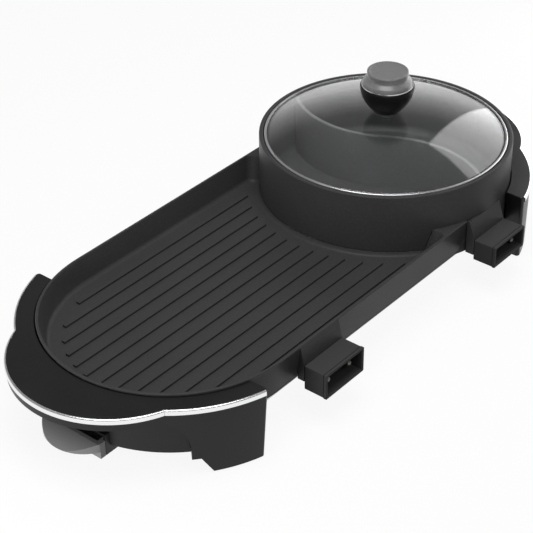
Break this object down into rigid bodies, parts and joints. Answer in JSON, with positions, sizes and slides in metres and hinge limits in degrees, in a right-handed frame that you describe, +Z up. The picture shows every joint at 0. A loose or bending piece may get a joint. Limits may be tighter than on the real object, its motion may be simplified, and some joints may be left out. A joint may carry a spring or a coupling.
{
  "type": "electric griddle and hot pot",
  "caption": "Tabletop electric griddle joined to a round divided hot pot with a loose domed glass lid, moulded end bases with carrying grips and a grease drawer.",
  "frame": {"origin": "on the table under the middle of the whole appliance, which is the bottom centre of its bounding box", "axes": "+X along the appliance from the griddle's end to the pot's end, +Y away from the side with the two socket hoods, +Z up"},
  "size_m": [0.6568, 0.296, 0.1789],
  "materials": {
    "pan_coating": "satin dark grey non-stick coating on cast aluminium",
    "base_plastic": "fine satin black moulded plastic",
    "hood_plastic": "matte dark grey heat-resistant moulding",
    "block_plastic": "matte black moulding",
    "drawer_plastic": "satin dark grey plastic",
    "trim_chrome": "bright plated",
    "pin_metal": "nickel plated",
    "tube_metal": "dull steel sheath",
    "shield_metal": "plain pressed sheet",
    "lid_glass": "clear tempered glass",
    "lid_steel": "polished steel band",
    "fastener_steel": "plated steel",
    "knob_plastic": "black heat-resistant plastic, satin",
    "seal_rubber": "silicone",
    "foot_rubber": "black rubber"
  },
  "bodies": {
    "cooker": {"grill_tray": "pan_coating", "hot_pot": "pan_coating", "pot_divider": "pan_coating", "grill_base": "base_plastic", "pot_base": "base_plastic", "grill_socket_hood": "hood_plastic", "pot_socket_hood": "hood_plastic", "grill_terminal_block": "block_plastic", "pot_terminal_block": "block_plastic", "grill_front_trim": "trim_chrome", "grill_rear_trim": "trim_chrome", "grill_grip_trim": "trim_chrome", "pot_front_trim": "trim_chrome", "pot_rear_trim": "trim_chrome", "pot_grip_trim": "trim_chrome", "grill_left_pin": "pin_metal", "grill_right_pin": "pin_metal", "pot_left_pin": "pin_metal", "pot_right_pin": "pin_metal", "grill_probe_tube": "tube_metal", "pot_probe_tube": "tube_metal", "grill_heater": "tube_metal", "pot_heater": "tube_metal", "bottom_shield": "shield_metal", "grill_front_foot": "foot_rubber", "grill_rear_foot": "foot_rubber", "pot_front_foot": "foot_rubber", "pot_rear_foot": "foot_rubber"},
    "lid": {"lid_glass": "lid_glass", "lid_rim": "lid_steel", "knob_gasket": "seal_rubber", "screw_washer": "fastener_steel", "knob_screw": "fastener_steel", "knob_body": "knob_plastic", "knob_ring": "trim_chrome", "knob_cap": "knob_plastic"},
    "drawer": {"grease_drawer": "drawer_plastic"}
  },
  "joints": [
    {"name": "lid_lift", "type": "slide", "parent": "cooker", "child": "lid", "axis": [0, 0, 1], "range_m": [0, 0.12]},
    {"name": "drawer_slide", "type": "slide", "parent": "cooker", "child": "drawer", "axis": [-1, 0, 0], "range_m": [0, 0.075]}
  ]
}
